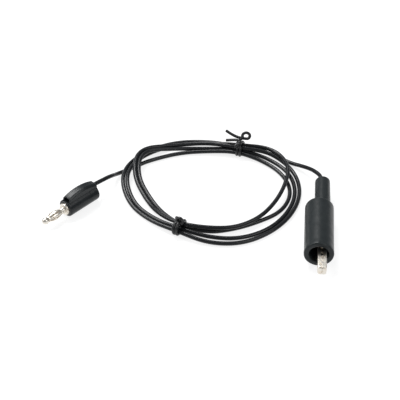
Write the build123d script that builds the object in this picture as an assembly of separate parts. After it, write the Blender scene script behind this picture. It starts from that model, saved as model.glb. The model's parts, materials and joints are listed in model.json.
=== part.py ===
from build123d import *
import math
import os

# Earth-bonding lead: a stackable 4 mm spring plug and a booted crocodile clip on a coiled cord.
# Millimetres, +Z up. The origin is on the surface that the lead lies on, under the middle of
# the box that holds the plug and the clip. +X runs from the plug to the clip.

# ---- how far a cut runs past what it cuts
PAST = 1.0

# ---- cord
CORD_D = 2.2
CONDUCTOR_D = 1.0
CHANNEL_CLEARANCE = 0.05

# ---- plug: its own frame has +X from the nose to the rear, +Z up through the hump
PLUG_NOSE = (-62.9, 15.15)
PLUG_HEADING = 47.0
BODY_D = 9.3
BODY_LENGTH = 20.0
BODY_EDGE = 0.7
HUMP_START = 1.0
HUMP_WIDTH = 5.2
HUMP_BEVEL = 1.0
HUMP_LEAN = 0.7
HUMP_FRONT = 6.3
HUMP_TOP = 7.7
HUMP_TOP_X = 8.8
HUMP_REAR = 5.6
WINDOW_WIDTH = 3.7
WINDOW_FLOOR = 3.8
WINDOW_ROOF = 5.8
CHANNEL_HEIGHT = 4.75
CHANNEL_FALL = 6.0
BARREL_D = 4.9
BARREL_RECESS = 1.0
SOCKET_D = 4.04
SOCKET_DEPTH = 12.0
SOCKET_COUNTERSINK = 0.3
COLLAR_D = 6.4
COLLAR_LENGTH = 1.2
COLLAR_ROUND = 0.5
NECK_D = 3.4
NECK_LENGTH = 1.4
SPINE_D = 2.4
SPIGOT_D = 1.4
TIP_D = 3.5
TIP_REAR = 1.45
LUG_START = 7.0
LUG_LENGTH = 5.0
LUG_WIDTH = 3.0
LUG_BOTTOM = 2.15
LUG_COVER = 0.95
LUG_TO_CORD = 0.4
SCREW_D = 1.8
SCREW_PROUD = 0.8
SCREW_LENGTH = 3.2
SCREW_EDGE = 0.12
SCREW_TO_WIRE = 0.2
SLOT_WIDTH = 0.4
SLOT_DEPTH = 0.5

# ---- lantern spring: a slit barrel of sheet that turns on the spine
LANTERN_LENGTH = 9.2
LANTERN_D = 4.7
LANTERN_SHEET = 0.25
LANTERN_RING = 0.9
LANTERN_SLIT = 0.5
LANTERN_LEAVES = 6
RUNNING_CLEARANCE = 0.05

# ---- clip: its own frame has +X from the mouth of the boot to the cord, +Z along the pivot
CLIP_MOUTH = (63.4, -22.85)
CLIP_HEADING = 85.0
BOOT_D = 14.6
BOOT_LENGTH = 35.5
BOOT_BORE_D = 9.6
BOOT_BORE_DEPTH = 28.0
BOOT_EDGE = 0.6
LIP_BEAD = 0.1
LIP_LENGTH = 2.6
LIP_TAPER = 1.0
TAIL_D = 8.1
TAIL_END_D = 7.8
TAIL_LENGTH = 22.0
TAIL_OFFSET = -1.55
TAIL_ROUND = 1.3
CAVITY_D = 3.8
CAVITY_START = 33.5
CAVITY_END = 51.5

# ---- jaws: pressed sheet, mouth plane vertical, hinged on a rivet
SHEET = 0.45
JAW_REACH = 11.5
JAW_HALF_WIDTH = 2.2
JAW_HALF_HEIGHT = 2.2
JAW_NOSE_ROUND = 1.3
JAW_BEND = 0.5
JAW_REAR = 4.0
PIVOT_X = 9.0
EAR_CLEARANCE = 0.1
RIVET_D = 1.5
RIVET_HEAD_D = 2.6
RIVET_HEAD = 0.35
RIVET_ROUND = 0.2
TOOTH_PITCH = 2.7
TOOTH_DEPTH = 1.3
TOOTH_COUNT = 3
TOOTH_FOOT = 0.25
TOOTH_CREST = 0.75
TOOTH_GAP = 0.12
FIRST_TOOTH = 0.9
TOOTH_RUN_OUT = 0.6
MOUTH_GAP = 0.5
LEVER_LENGTH = 15.0
LEVER_ANGLE = 13.5
LEVER_HALF_HEIGHT = 1.65
LEVER_SETBACK = 0.6
LEVER_ROUND = 1.0
LEVER_FLANGE_LENGTH = 6.75
LEVER_FLANGE = 0.7
JAW_BRIDGE = 1.2
STRAP_HALF_HEIGHT = 1.2
BACK_END = 20.0
BACK_FLANGE = 1.0
CRIMP_D = 3.2
CRIMP_START = 27.0
CRIMP_END = 33.0

# ---- jaw spring
SPRING_WIRE_D = 0.45
SPRING_MEAN_R = 1.25
SPRING_TURNS = 4
SPRING_PITCH = 0.44
SPRING_LEG = 6.0
LEVER_LEG_TURN = 0.8
FIXED_LEG_TURN = 2.0

# ---- resistor and joint inside the tail
LEAD_D = 0.6
RESISTOR_D = 2.4
RESISTOR_LENGTH = 6.5
RESISTOR_START = 36.0
RESISTOR_WAIST = 0.25
RESISTOR_CAP = 1.5
LEAD_IN_CAP = 2.0
FERRULE_D = 2.2
FERRULE_START = 44.5
FERRULE_LENGTH = 4.6
FERRULE_EDGE = 0.2
SLEEVE_START = 35.0
SLEEVE_END = 51.0
SLEEVE_WALL = 0.3
CORD_INSIDE = 4.6

# ---- coil: distances from its middle and heights of the cord's centre, tie to tie
COIL_MIDDLE = (11.9, 33.65)
UPPER_TIE_ANGLE = 67.0
LOWER_TIE_ANGLE = -116.6
RIGHT_STEPS = 8
LEFT_STEPS = 7
COIL_SKIN = 0.3

# Each half turn: reach at the stations between two ties, then the height at those stations.
RIGHT_HALVES = (
    ((37.6, 41.0, 42.4, 40.0, 34.2, 32.4, 33.6), (1.6, 1.2, 1.15, 1.15, 1.15, 1.15, 1.6)),
    ((41.4, 44.9, 44.8, 43.2, 42.2, 40.4, 37.2), (1.5, 1.2, 1.15, 1.15, 1.15, 1.2, 1.7)),
    ((47.2, 45.2, 38.0, 34.6, 34.2, 34.0, 33.0), (4.6, 5.4, 4.2, 3.3, 3.4, 3.5, 4.2)),
    ((44.0, 47.8, 47.2, 45.6, 44.6, 44.2, 41.6), (4.0, 1.4, 1.15, 1.15, 1.15, 1.2, 1.7)),
)
LEFT_HALVES = (
    ((31.2, 32.4, 40.0, 47.9, 39.0, 36.0), (1.4, 1.2, 4.6, 6.2, 2.8, 1.9)),
    ((37.4, 42.2, 47.0, 47.6, 45.2, 40.6), (1.5, 1.2, 4.6, 2.4, 1.2, 2.4)),
    ((33.6, 34.8, 42.4, 50.2, 41.4, 38.4), (2.3, 1.2, 4.8, 6.4, 3.6, 4.0)),
    ((39.8, 44.6, 49.4, 50.0, 47.8, 43.0), (1.5, 1.2, 4.3, 1.8, 1.2, 1.7)),
)
# Where each pass goes through the upper tie and the lower tie: reach, height.
UPPER_PASSES = ((34.6, 3.0), (37.0, 3.0), (38.3, 5.1), (35.9, 5.1), (39.4, 3.0))
LOWER_PASSES = ((33.4, 3.0), (35.8, 3.0), (34.6, 5.1), (38.2, 3.0))
# The cord comes in from the plug over the last left-hand stations, and leaves for the clip
# over the first right-hand one.
LEAD_IN = ((42.8, 37.2, 33.6), (1.15, 1.2, 1.9))
LEAD_OUT = ((45.6,), (1.9,))

# ---- cord's free stretches, chosen by hand, between the plug, the coil and the clip
PLUG_SIDE_ROUTE = ((-41.6, 38.4, 7.25), (-37.9, 48.4, 1.15), (-28.9, 54.5, 1.15))
CLIP_SIDE_ROUTE = ((54.1, 57.8, 1.2), (61.3, 51.8, 3.4), (66.3, 44.6, 6.4))
EXIT_RUN = 2.8

# ---- ties: insulated wire taken twice round the bundle, its ends twisted together
TIE_WIRE_D = 1.6
TIE_BUNDLE_WIDTH = 7.4
TIE_BUNDLE_HEIGHT = 5.2
TIE_ROUND = 2.4
UPPER_TIE_REACH = 37.0
LOWER_TIE_REACH = 35.8
# Free ends from the top of each bundle: across the bundle's run, along it outward, height.
UPPER_TIE_ENDS = (
    ((0.0, 0.4, 7.6), (0.6, 2.2, 9.6), (3.0, 4.0, 10.6)),
    ((0.6, 2.2, 9.6), (-3.4, 4.4, 10.8), (-6.6, 5.8, 11.6)),
    ((0.3, 1.3, 8.6), (-3.2, 2.4, 9.0), (-6.2, 2.8, 9.0)),
)
LOWER_TIE_ENDS = (
    ((-0.8, 0.0, 7.6), (0.4, 0.6, 9.0), (3.6, 0.6, 9.4)),
)


def placed(shape, where, heading):
    """Move a shape from a fitting's own frame to its place on the surface."""
    x, y, height = where
    return Pos(x, y, height) * (Rot(0, 0, heading) * shape)


def point_on(where, heading, local):
    """The row-frame point of a point in a fitting's own frame."""
    turn = math.radians(heading)
    x = where[0] + local[0] * math.cos(turn) - local[1] * math.sin(turn)
    y = where[1] + local[0] * math.sin(turn) + local[1] * math.cos(turn)
    return (x, y, where[2] + local[2])


PLUG_AT = (PLUG_NOSE[0], PLUG_NOSE[1], BODY_D / 2)
CLIP_AT = (CLIP_MOUTH[0], CLIP_MOUTH[1], BOOT_D / 2 + LIP_BEAD)


def along_x(radius, start, end, y=0.0, z=0.0):
    """A round bar along X."""
    bar = Cylinder(radius, end - start, align=(Align.CENTER, Align.CENTER, Align.MIN))
    return Pos(start, y, z) * (Rot(0, 90, 0) * bar)


def block(x0, x1, y0, y1, z0, z1):
    """A box between two corners."""
    low = (Align.MIN, Align.MIN, Align.MIN)
    return Pos(x0, y0, z0) * Box(x1 - x0, y1 - y0, z1 - z0, align=low)


def upright(points, z0, z1):
    """A plan outline raised between two heights."""
    face = make_face(Polyline(*points, close=True))
    return Pos(0, 0, z0) * extrude(face, amount=z1 - z0)


# ---------------------------------------------------------------- plug
LUG_END = LUG_START + LUG_LENGTH
LUG_TOP = HUMP_TOP - LUG_COVER
SHOULDER = LUG_START - SCREW_PROUD + SCREW_LENGTH + SCREW_TO_WIRE
PIN_FRONT = -(COLLAR_LENGTH + NECK_LENGTH)
LANTERN_BACK = PIN_FRONT - RUNNING_CLEARANCE
LANTERN_FRONT = LANTERN_BACK - LANTERN_LENGTH
TIP_BACK = LANTERN_FRONT - RUNNING_CLEARANCE
TIP_CENTRE = TIP_BACK - TIP_REAR
CORD_START = LUG_END + LUG_TO_CORD


def make_plug_core():
    barrel_end = BODY_LENGTH - BARREL_RECESS
    core = along_x(BARREL_D / 2, 0, barrel_end)
    collar = along_x(COLLAR_D / 2, -COLLAR_LENGTH, 0)
    front_edge = collar.edges().filter_by(GeomType.CIRCLE).sort_by(Axis.X)[0]
    core += fillet(front_edge, COLLAR_ROUND)
    core += along_x(NECK_D / 2, PIN_FRONT, -COLLAR_LENGTH)
    core += along_x(SPINE_D / 2, TIP_BACK, PIN_FRONT)
    core += along_x(SPIGOT_D / 2, TIP_CENTRE, TIP_BACK)
    half = LUG_WIDTH / 2
    core += block(LUG_START, LUG_END, -half, half, LUG_BOTTOM, LUG_TOP)
    core -= along_x(SOCKET_D / 2, barrel_end - SOCKET_DEPTH, barrel_end)
    mouth = Cone(SOCKET_D / 2, SOCKET_D / 2 + SOCKET_COUNTERSINK, SOCKET_COUNTERSINK)
    core -= Pos(barrel_end - SOCKET_COUNTERSINK / 2, 0, 0) * (Rot(0, 90, 0) * mouth)
    core -= along_x(SCREW_D / 2, LUG_START, SHOULDER, z=CHANNEL_HEIGHT)
    wire_hole = CONDUCTOR_D / 2 + CHANNEL_CLEARANCE
    core -= along_x(wire_hole, SHOULDER, LUG_END, z=CHANNEL_HEIGHT)
    return core


def make_hump():
    """A block on the barrel with a leaning front, an arched top and bevelled top edges."""
    half = HUMP_WIDTH / 2
    front = HUMP_START + HUMP_LEAN
    arch = ThreePointArc((front, 0, HUMP_FRONT), (HUMP_TOP_X, 0, HUMP_TOP), (BODY_LENGTH, 0, HUMP_REAR))
    sides = Polyline(
        (BODY_LENGTH, 0, HUMP_REAR),
        (BODY_LENGTH, 0, 0),
        (HUMP_START, 0, 0),
        (HUMP_START, 0, BODY_D / 2 - BODY_EDGE),
        (front, 0, HUMP_FRONT),
    )
    hump = extrude(make_face([arch, sides]), amount=half, dir=(0, 1, 0), both=True)
    top_edges = [e for e in hump.edges().filter_by(GeomType.CIRCLE) if abs(abs(e.center().Y) - half) < 0.01]
    return chamfer(top_edges, HUMP_BEVEL)


def along_channel(radius, start, end):
    """A round bar on the line of the cord's channel, which falls towards the rear."""
    bar = along_x(radius, start - CORD_START, end - CORD_START)
    return Pos(CORD_START, 0, CHANNEL_HEIGHT) * (Rot(0, CHANNEL_FALL, 0) * bar)


def channel_point(x):
    """A point on the channel's line, in the plug's frame."""
    return (x, 0, CHANNEL_HEIGHT - (x - CORD_START) * math.tan(math.radians(CHANNEL_FALL)))


def make_plug_body():
    body = along_x(BODY_D / 2, 0, BODY_LENGTH)
    rims = body.edges().filter_by(GeomType.CIRCLE)
    body = fillet(rims, BODY_EDGE)
    body += make_hump()
    half = WINDOW_WIDTH / 2
    body -= block(HUMP_START - 2 * PAST, LUG_START, -half, half, WINDOW_FLOOR, WINDOW_ROOF)
    body -= along_x(BARREL_D / 2, 0, BODY_LENGTH)
    body -= block(LUG_START, CORD_START, -LUG_WIDTH / 2, LUG_WIDTH / 2, LUG_BOTTOM, LUG_TOP)
    channel = CORD_D / 2 + CHANNEL_CLEARANCE
    return body - along_channel(channel, LUG_END + LUG_TO_CORD / 2, BODY_LENGTH + PAST)


def make_lantern_spring():
    ring = SPINE_D / 2 + RUNNING_CLEARANCE
    edge = ring + LANTERN_SHEET
    belly = LANTERN_D / 2
    middle = (LANTERN_FRONT + LANTERN_BACK) / 2
    back = LANTERN_BACK - LANTERN_RING
    front = LANTERN_FRONT + LANTERN_RING
    outer = ThreePointArc((front, 0, edge), (middle, 0, belly), (back, 0, edge))
    inner = ThreePointArc((back, 0, ring), (middle, 0, belly - LANTERN_SHEET), (front, 0, ring))
    rear = LANTERN_BACK
    fore = LANTERN_FRONT
    rear_ring = Polyline((back, 0, edge), (rear, 0, edge), (rear, 0, ring), (back, 0, ring))
    fore_ring = Polyline((front, 0, ring), (fore, 0, ring), (fore, 0, edge), (front, 0, edge))
    cage = revolve(make_face([outer, rear_ring, inner, fore_ring]), axis=Axis.X)
    slit = block(front, back, -LANTERN_SLIT / 2, LANTERN_SLIT / 2, 0, belly + PAST)
    for leaf in range(LANTERN_LEAVES):
        cage -= Rot(leaf * 360 / LANTERN_LEAVES, 0, 0) * slit
    return cage


def make_pin_tip():
    tip = Pos(TIP_CENTRE, 0, 0) * Sphere(TIP_D / 2)
    tip -= block(TIP_BACK, TIP_BACK + TIP_D, -TIP_D, TIP_D, -TIP_D, TIP_D)
    return tip - along_x(SPIGOT_D / 2, TIP_CENTRE, TIP_BACK)


def make_clamp_screw():
    head = LUG_START - SCREW_PROUD
    radius = SCREW_D / 2 - RUNNING_CLEARANCE
    screw = along_x(radius, head, head + SCREW_LENGTH)
    rims = screw.edges().filter_by(GeomType.CIRCLE)
    screw = chamfer(rims, SCREW_EDGE)
    half = SLOT_WIDTH / 2
    screw -= block(head - PAST, head + SLOT_DEPTH, -half, half, -radius, radius)
    return Pos(0, 0, CHANNEL_HEIGHT) * screw


def make_plug_conductor():
    return along_x(CONDUCTOR_D / 2, SHOULDER, CORD_START, z=CHANNEL_HEIGHT)


# ---------------------------------------------------------------- clip
SEAM_Y = TAIL_OFFSET
BACK_OUT = JAW_HALF_WIDTH
BACK_IN = JAW_HALF_WIDTH - SHEET
EAR_IN = JAW_HALF_HEIGHT - SHEET
NEST_OUT = EAR_IN - EAR_CLEARANCE
NEST_IN = NEST_OUT - SHEET
CORD_STOP = BOOT_LENGTH + TAIL_LENGTH - CORD_INSIDE
TEETH_START = -JAW_REACH + FIRST_TOOTH
TEETH_END = TEETH_START + TOOTH_PITCH * TOOTH_COUNT


def make_clip_boot():
    radius = BOOT_D / 2
    lip = radius + LIP_BEAD
    tube = along_x(radius, 0, BOOT_LENGTH)
    tube = fillet(tube.edges().filter_by(GeomType.CIRCLE).sort_by(Axis.X)[-1], BOOT_EDGE)
    bead = along_x(lip, 0, LIP_LENGTH)
    bead = fillet(bead.edges().filter_by(GeomType.CIRCLE).sort_by(Axis.X)[0], BOOT_EDGE)
    rear_rim = bead.edges().filter_by(GeomType.CIRCLE).sort_by(Axis.X)[-1]
    bead = chamfer(rear_rim, LIP_BEAD, LIP_TAPER)
    on_base = (Align.CENTER, Align.CENTER, Align.MIN)
    tail = Cone(TAIL_D / 2, TAIL_END_D / 2, TAIL_LENGTH, align=on_base)
    tail = fillet(tail.edges().filter_by(GeomType.CIRCLE).sort_by(Axis.Z)[-1], TAIL_ROUND)
    boot = tube + bead + Pos(BOOT_LENGTH, TAIL_OFFSET, 0) * (Rot(0, 90, 0) * tail)
    boot -= along_x(BOOT_BORE_D / 2, -PAST, BOOT_BORE_DEPTH)
    boot -= along_x(CRIMP_D / 2, BOOT_BORE_DEPTH - PAST, CAVITY_START, y=TAIL_OFFSET)
    boot -= along_x(CAVITY_D / 2, CAVITY_START, CAVITY_END, y=TAIL_OFFSET)
    hole = CORD_D / 2 + CHANNEL_CLEARANCE
    boot -= along_x(hole, CAVITY_END - PAST, BOOT_LENGTH + TAIL_LENGTH + PAST, y=TAIL_OFFSET)
    bore_rims = boot.edges().filter_by(GeomType.CIRCLE)
    bore_rims = [e for e in bore_rims if abs(e.radius - BOOT_BORE_D / 2) < 0.01]
    return fillet(min(bore_rims, key=lambda e: e.center().X), BOOT_EDGE)


def tooth_edge(shift):
    """The toothed edge of a flange, from the nose back to the open gap behind the teeth."""
    points = [(-JAW_REACH, shift)]
    low, high = -TOOTH_DEPTH / 2, TOOTH_DEPTH / 2
    points.append((TEETH_START, shift))
    for tooth in range(TOOTH_COUNT):
        start = TEETH_START + tooth * TOOTH_PITCH
        points.append((start + TOOTH_PITCH * TOOTH_FOOT, low + shift))
        points.append((start + TOOTH_PITCH * TOOTH_CREST, high + shift))
    return points


def jaw_front(side):
    """Front channel of a jaw on one side of the seam: +1 is the moving jaw, -1 the fixed one."""
    edge = tooth_edge(side * TOOTH_GAP / 2)
    gap = side * MOUTH_GAP
    edge += [(TEETH_END + TOOTH_RUN_OUT, gap), (JAW_REAR, gap)]
    back = side * BACK_OUT
    outline = edge + [(JAW_REAR, back), (-JAW_REACH, back)]
    front = upright(outline, -JAW_HALF_HEIGHT, JAW_HALF_HEIGHT)
    corner = front.edges().filter_by(Axis.Z).sort_by(lambda e: e.center().X - side * e.center().Y)[0]
    front = fillet(corner, JAW_NOSE_ROUND)
    bends = [e for e in front.edges().filter_by(Axis.X) if abs(e.center().Y - back) < 0.01]
    front = fillet(bends, JAW_BEND)
    inside = side * BACK_IN
    low, high = min(inside, -side * BACK_OUT), max(inside, -side * BACK_OUT)
    return front - block(-JAW_REACH + SHEET, JAW_REAR + PAST, low, high, -EAR_IN, EAR_IN)


def ear_pair(inner, outer, side, radius):
    """Two ears round the pivot and the side walls that carry them forward and back."""
    pair = Part()
    for z0, z1 in ((inner, outer), (-outer, -inner)):
        disc = Pos(PIVOT_X, 0, z0) * extrude(Circle(radius), amount=z1 - z0)
        low, high = sorted((side * BACK_OUT, 0))
        wall = block(JAW_REAR - SHEET, PIVOT_X + radius, low, high, z0, z1)
        pair += disc + wall
    return pair


def make_fixed_jaw():
    jaw = jaw_front(-1)
    jaw += ear_pair(EAR_IN, JAW_HALF_HEIGHT, -1, BACK_OUT)
    half = JAW_HALF_HEIGHT
    jaw += block(JAW_REAR - SHEET, BACK_END, -BACK_OUT, -BACK_IN, -half, half)
    for z0, z1 in ((EAR_IN, half), (-half, -EAR_IN)):
        jaw += block(PIVOT_X, BACK_END, -BACK_OUT, -BACK_OUT + BACK_FLANGE, z0, z1)
    strap = STRAP_HALF_HEIGHT
    strap_in = -CRIMP_D / 2 + SHEET / 2
    jaw += block(BACK_END - PAST, CRIMP_START, -BACK_OUT, -BACK_IN, -strap, strap)
    jaw += block(CRIMP_START - SHEET, CRIMP_START + PAST, -BACK_OUT, strap_in, -strap, strap)
    barrel = along_x(CRIMP_D / 2, CRIMP_START, CRIMP_END)
    jaw += barrel
    jaw -= along_x(LEAD_D / 2, CRIMP_START - PAST, CRIMP_END + PAST)
    jaw -= Pos(PIVOT_X, 0, 0) * Cylinder(RIVET_D / 2, 3 * JAW_HALF_HEIGHT)
    return Pos(0, SEAM_Y, 0) * jaw


def make_moving_jaw():
    jaw = jaw_front(1)
    jaw += ear_pair(NEST_IN, NEST_OUT, 1, BACK_IN - EAR_CLEARANCE)
    joggle = block(JAW_REAR - SHEET, JAW_REAR, MOUTH_GAP, BACK_OUT, -JAW_HALF_HEIGHT, JAW_HALF_HEIGHT)
    reach = JAW_REACH
    joggle -= block(-reach, reach, -reach, reach, -NEST_IN, NEST_IN)
    jaw += joggle
    jaw += block(JAW_REAR - SHEET, PIVOT_X + JAW_BRIDGE, BACK_IN, BACK_OUT, -NEST_OUT, NEST_OUT)
    half = LEVER_HALF_HEIGHT
    lever = block(0, LEVER_LENGTH, -SHEET, 0, -half, half)
    tip_corners = lever.edges().filter_by(Axis.Y).group_by(Axis.X)[-1]
    lever = fillet(tip_corners, LEVER_ROUND)
    for z0, z1 in ((NEST_IN, NEST_OUT), (-NEST_OUT, -NEST_IN)):
        lever += block(0, LEVER_FLANGE_LENGTH, -SHEET - LEVER_FLANGE, 0, z0, z1)
    jaw += Pos(PIVOT_X + LEVER_SETBACK, BACK_OUT, 0) * (Rot(0, 0, LEVER_ANGLE) * lever)
    running = RIVET_D / 2 + RUNNING_CLEARANCE
    jaw -= Pos(PIVOT_X, 0, 0) * Cylinder(running, 3 * JAW_HALF_HEIGHT)
    return Pos(0, SEAM_Y, 0) * jaw


def make_pivot_rivet():
    rivet = Cylinder(RIVET_D / 2, 2 * JAW_HALF_HEIGHT)
    for side in (1, -1):
        head = Cylinder(RIVET_HEAD_D / 2, RIVET_HEAD)
        outer = head.edges().filter_by(GeomType.CIRCLE).sort_by(Axis.Z)[-1 if side > 0 else 0]
        head = fillet(outer, RIVET_ROUND)
        rivet += Pos(0, 0, side * (JAW_HALF_HEIGHT + RIVET_HEAD / 2)) * head
    return Pos(PIVOT_X, SEAM_Y, 0) * rivet


def make_jaw_spring():
    """Close-wound turns as stacked rings, with one leg to each jaw's rear."""
    wire = SPRING_WIRE_D / 2
    height = SPRING_PITCH * (SPRING_TURNS - 1) / 2
    spring = Part()
    for turn in range(SPRING_TURNS):
        spring += Pos(0, 0, turn * SPRING_PITCH - height) * Torus(SPRING_MEAN_R, wire)
    lever_side = along_x(wire, 0, SPRING_LEG, y=SPRING_MEAN_R, z=height)
    fixed_side = along_x(wire, 0, SPRING_LEG, y=-SPRING_MEAN_R, z=-height)
    spring += Rot(0, 0, LEVER_ANGLE + LEVER_LEG_TURN) * lever_side
    spring += Rot(0, 0, -FIXED_LEG_TURN) * fixed_side
    return Pos(PIVOT_X, SEAM_Y, 0) * spring


def make_resistor_body():
    end = RESISTOR_START + RESISTOR_LENGTH
    radius = RESISTOR_D / 2
    waist = radius - RESISTOR_WAIST
    cap = RESISTOR_CAP
    body = along_x(radius, RESISTOR_START, RESISTOR_START + cap)
    body += along_x(radius, end - cap, end)
    body = fillet(body.edges().filter_by(GeomType.CIRCLE), RESISTOR_WAIST)
    body += along_x(waist, RESISTOR_START + cap / 2, end - cap / 2)
    body -= along_x(LEAD_D / 2, RESISTOR_START - PAST, end + PAST)
    return Pos(0, TAIL_OFFSET, 0) * body


def make_front_lead():
    return along_x(LEAD_D / 2, CRIMP_START, RESISTOR_START + LEAD_IN_CAP, y=TAIL_OFFSET)


def make_rear_lead():
    start = RESISTOR_START + RESISTOR_LENGTH - LEAD_IN_CAP
    return along_x(LEAD_D / 2, start, FERRULE_START + FERRULE_LENGTH / 2, y=TAIL_OFFSET)


def make_splice_ferrule():
    middle = FERRULE_START + FERRULE_LENGTH / 2
    end = FERRULE_START + FERRULE_LENGTH
    ferrule = along_x(FERRULE_D / 2, FERRULE_START, end)
    ferrule = chamfer(ferrule.edges().filter_by(GeomType.CIRCLE), FERRULE_EDGE)
    ferrule -= along_x(LEAD_D / 2, FERRULE_START - PAST, middle)
    ferrule -= along_x(CONDUCTOR_D / 2, middle, end + PAST)
    return Pos(0, TAIL_OFFSET, 0) * ferrule


def make_shrink_sleeve():
    inner = RESISTOR_D / 2
    sleeve = along_x(inner + SLEEVE_WALL, SLEEVE_START, SLEEVE_END, y=TAIL_OFFSET)
    return sleeve - along_x(inner, SLEEVE_START - PAST, SLEEVE_END + PAST, y=TAIL_OFFSET)


def make_clip_conductor():
    start = FERRULE_START + FERRULE_LENGTH / 2
    return along_x(CONDUCTOR_D / 2, start, CORD_STOP, y=TAIL_OFFSET)


# ---------------------------------------------------------------- cord
def coil_point(angle, reach, height):
    turn = math.radians(angle)
    x = COIL_MIDDLE[0] + reach * math.cos(turn)
    y = COIL_MIDDLE[1] + reach * math.sin(turn)
    return (x, y, height)


def coil_points():
    """Centres of the cord through its turns, clockwise from the upper tie."""
    right_step = (LOWER_TIE_ANGLE - UPPER_TIE_ANGLE) / RIGHT_STEPS
    left_step = (UPPER_TIE_ANGLE - 360 - LOWER_TIE_ANGLE) / LEFT_STEPS
    entry = 360 + LOWER_TIE_ANGLE + (LEFT_STEPS - len(LEAD_IN[0])) * left_step
    points = []
    for step, (reach, height) in enumerate(zip(*LEAD_IN)):
        points.append(coil_point(entry + step * left_step, reach, height))
    for turn, (right, left) in enumerate(zip(RIGHT_HALVES, LEFT_HALVES)):
        points.append(coil_point(UPPER_TIE_ANGLE, *UPPER_PASSES[turn]))
        for step, (reach, height) in enumerate(zip(*right), start=1):
            points.append(coil_point(UPPER_TIE_ANGLE + step * right_step, reach, height))
        points.append(coil_point(LOWER_TIE_ANGLE, *LOWER_PASSES[turn]))
        for step, (reach, height) in enumerate(zip(*left), start=1):
            points.append(coil_point(LOWER_TIE_ANGLE + step * left_step, reach, height))
    points.append(coil_point(UPPER_TIE_ANGLE, *UPPER_PASSES[-1]))
    for step, (reach, height) in enumerate(zip(*LEAD_OUT), start=1):
        points.append(coil_point(UPPER_TIE_ANGLE + step * right_step, reach, height))
    return points


def make_coil():
    """The space that the turns fill: an uneven ring on the surface."""
    skin = CORD_D / 2 + COIL_SKIN
    points = coil_points()
    stations = RIGHT_STEPS + LEFT_STEPS
    middle = Vector(*COIL_MIDDLE)
    outer, inner = [], []
    for station in range(stations):
        passes = [Vector(x, y) - middle for x, y, _ in points[station::stations]]
        direction = passes[0].normalized()
        reaches = [p.length for p in passes]
        outer.append(middle + direction * (max(reaches) + skin))
        inner.append(middle + direction * (min(reaches) - skin))
    top = max(z for _, _, z in points) + CORD_D / 2
    ring = make_face(Spline(*outer, periodic=True)) - make_face(Spline(*inner, periodic=True))
    return extrude(ring, amount=top)


def report_radii(name, route, radii):
    print(name, "radii", [round(r, 1) for r in radii])
    runs = [(Vector(*b) - Vector(*a)).length for a, b in zip(route, route[1:])]
    print(name, "runs", [round(r, 1) for r in runs])


def corner_radii(route):
    radii = []
    for before, here, after in zip(route, route[1:], route[2:]):
        first = Vector(*here) - Vector(*before)
        second = Vector(*after) - Vector(*here)
        half_turn = math.radians(first.get_angle(second) / 2)
        radii.append(0.45 * min(first.length, second.length) / math.tan(half_turn))
    return radii


def make_tube(name, route):
    radii = corner_radii(route)
    report_radii(name, route, radii)
    path = FilletPolyline(*route, radius=radii)
    section = Plane(path @ 0, z_dir=path % 0) * Circle(CORD_D / 2)
    tube = sweep(section, path=path)
    expected = math.pi * CORD_D**2 / 4 * path.length
    share = tube.volume / expected
    print(name, "length %.1f, volume / (section x length) %.4f" % (path.length, share))
    return tube


PLUG_WIRE_START = point_on(PLUG_AT, PLUG_HEADING, channel_point(CORD_START))
PLUG_WIRE_EXIT = point_on(PLUG_AT, PLUG_HEADING, channel_point(BODY_LENGTH + EXIT_RUN))
CLIP_WIRE_START = point_on(CLIP_AT, CLIP_HEADING, (CORD_STOP, TAIL_OFFSET, 0))
CLIP_WIRE_EXIT = point_on(CLIP_AT, CLIP_HEADING, (BOOT_LENGTH + TAIL_LENGTH + EXIT_RUN, TAIL_OFFSET, 0))


# ---------------------------------------------------------------- ties
def make_tie(angle, reach, ends):
    """A band round the bundle and the wire's free ends; X runs along the bundle."""
    across = TIE_BUNDLE_WIDTH / 2
    wire = TIE_WIRE_D
    outer = RectangleRounded(2 * (across + wire), TIE_BUNDLE_HEIGHT + 2 * wire, TIE_ROUND)
    hole = RectangleRounded(2 * across, TIE_BUNDLE_HEIGHT, TIE_ROUND - wire)
    lift = TIE_BUNDLE_HEIGHT / 2 + wire
    band = extrude(Plane.YZ * (outer - hole), amount=wire, both=True)
    tie = Pos(0, 0, lift) * band
    for end in ends:
        path = Polyline(*end)
        section = Plane(path @ 0, z_dir=path % 0) * Circle(wire / 2)
        tie += sweep(section, path=path, transition=Transition.ROUND)
    x, y, _ = coil_point(angle, reach, 0)
    return Pos(x, y, 0) * (Rot(0, 0, angle - 90) * tie)


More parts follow.
